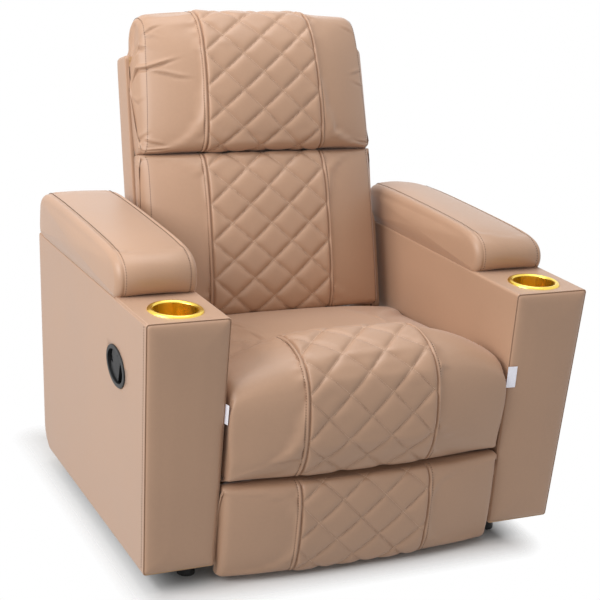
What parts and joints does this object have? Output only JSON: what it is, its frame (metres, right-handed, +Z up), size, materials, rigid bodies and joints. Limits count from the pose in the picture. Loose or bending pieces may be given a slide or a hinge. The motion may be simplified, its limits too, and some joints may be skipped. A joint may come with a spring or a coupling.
{
  "type": "recliner armchair",
  "caption": "Padded leather recliner with quilted cushions, cup holders in box arms, a recessed pull handle, and a back and footrest that open on steel linkages.",
  "frame": {"origin": "on the floor, under the middle of the chair's bounding box with the footrest folded and the back upright", "axes": "+Z up, the chair faces -Y, the sitter's left hand is at +X"},
  "size_m": [0.971, 0.8171, 1.0119],
  "materials": {
    "leather": "soft grained semi-gloss leather over foam",
    "plywood": "raw plywood",
    "timber": "raw sawn timber",
    "webbing": "woven elastic webbing",
    "gold_cup": "polished gold plate",
    "handle_black": "satin moulded plastic",
    "foot_black": "matte moulded plastic",
    "tag": "blank woven tape",
    "zinc": "zinc plated",
    "black_steel": "black powder coat"
  },
  "bodies": {
    "base": {"base_rail_left": "black_steel", "base_rail_right": "black_steel", "base_front_tube": "black_steel", "base_rear_tube": "black_steel", "glide_feet": "foot_black", "arm_frame_left": "plywood", "arm_frame_right": "plywood", "arm_cover_left": "leather", "arm_cover_right": "leather", "arm_pad_left": "leather", "arm_pad_right": "leather", "cup_holder_left": "gold_cup", "cup_holder_right": "gold_cup", "handle_bezel": "handle_black", "lever_pin": "black_steel", "lever_spring": "black_steel", "label_tags": "tag", "arm_bolts": "zinc", "base_pivot_rivets": "zinc"},
    "front_swing": {"front_swing_link_left": "black_steel", "front_swing_link_right": "black_steel"},
    "rear_swing": {"rear_swing_link_left": "black_steel", "rear_swing_link_right": "black_steel"},
    "seat": {"seat_plate_left": "black_steel", "seat_plate_right": "black_steel", "seat_front_rail": "timber", "seat_rear_rail": "timber", "seat_side_rails": "timber", "seat_straps": "webbing", "seat_cushion": "leather", "seat_pivot_rivets": "zinc"},
    "back": {"back_bracket_left": "black_steel", "back_bracket_right": "black_steel", "back_side_rails": "timber", "back_top_rail": "timber", "back_bottom_rail": "timber", "back_straps": "webbing", "back_cushion": "leather", "headrest_cushion": "leather", "back_shell": "leather"},
    "front_link": {"front_link_left": "black_steel", "front_link_right": "black_steel", "front_link_rivets": "zinc"},
    "rear_link": {"rear_link_left": "black_steel", "rear_link_right": "black_steel", "drive_tube": "black_steel"},
    "lower_link": {"lower_link_left": "black_steel", "lower_link_right": "black_steel", "lower_link_rivets": "zinc"},
    "upper_link": {"upper_link_left": "black_steel", "upper_link_right": "black_steel"},
    "footrest": {"footrest_bracket_left": "black_steel", "footrest_bracket_right": "black_steel", "footrest_rivets": "zinc", "footrest_board": "plywood", "footrest_cushion": "leather"},
    "release_lever": {"release_lever": "handle_black"}
  },
  "joints": [
    {"name": "front_swing", "type": "hinge", "parent": "base", "child": "front_swing", "pos_m": [0, -0.196, 0.08], "axis": [-1, 0, 0], "range_deg": [-40, 0]},
    {"name": "seat_level", "type": "hinge", "parent": "front_swing", "child": "seat", "pos_m": [0, -0.16522, 0.16457], "axis": [-1, 0, 0], "range_deg": [0, 40]},
    {"name": "rear_swing", "type": "hinge", "parent": "base", "child": "rear_swing", "pos_m": [0, 0.104, 0.08], "axis": [-1, 0, 0], "range_deg": [-40, 0]},
    {"name": "back_recline", "type": "hinge", "parent": "seat", "child": "back", "pos_m": [0, 0.15162, 0.26843], "axis": [-1, 0, 0], "range_deg": [0, 38]},
    {"name": "footrest_extend", "type": "hinge", "parent": "seat", "child": "front_link", "pos_m": [0, -0.2851, 0.1894], "axis": [-1, 0, 0], "range_deg": [0, 107.5]},
    {"name": "lower_link_turn", "type": "hinge", "parent": "front_link", "child": "lower_link", "pos_m": [0, -0.1997, 0.059], "axis": [-1, 0, 0], "range_deg": [-113, 0]},
    {"name": "footrest_turn", "type": "hinge", "parent": "lower_link", "child": "footrest", "pos_m": [0, -0.2766, 0.1523], "axis": [-1, 0, 0], "range_deg": [0, 99.5]},
    {"name": "rear_link_swing", "type": "hinge", "parent": "seat", "child": "rear_link", "pos_m": [0, -0.2225, 0.1912], "axis": [-1, 0, 0], "range_deg": [0, 107.5]},
    {"name": "upper_link_turn", "type": "hinge", "parent": "front_link", "child": "upper_link", "pos_m": [0, -0.2333, 0.0936], "axis": [-1, 0, 0], "range_deg": [-112.5, 0]},
    {"name": "release_pull", "type": "hinge", "parent": "base", "child": "release_lever", "pos_m": [-0.4727, -0.17472, 0.41865], "axis": [0.0417, 0.2215, -0.9743], "range_deg": [0, 30], "stiffness_Nm_per_rad": 0.3}
  ],
  "couplings": [
    {"joint": "front_swing", "follows": "back_recline", "ratio": -1.0526},
    {"joint": "seat_level", "follows": "back_recline", "ratio": 1.0526},
    {"joint": "rear_swing", "follows": "back_recline", "ratio": -1.0526},
    {"joint": "lower_link_turn", "follows": "footrest_extend", "ratio": -1.0479},
    {"joint": "footrest_turn", "follows": "footrest_extend", "ratio": 0.9197},
    {"joint": "rear_link_swing", "follows": "footrest_extend", "ratio": 0.993},
    {"joint": "upper_link_turn", "follows": "footrest_extend", "ratio": -1.0398}
  ]
}
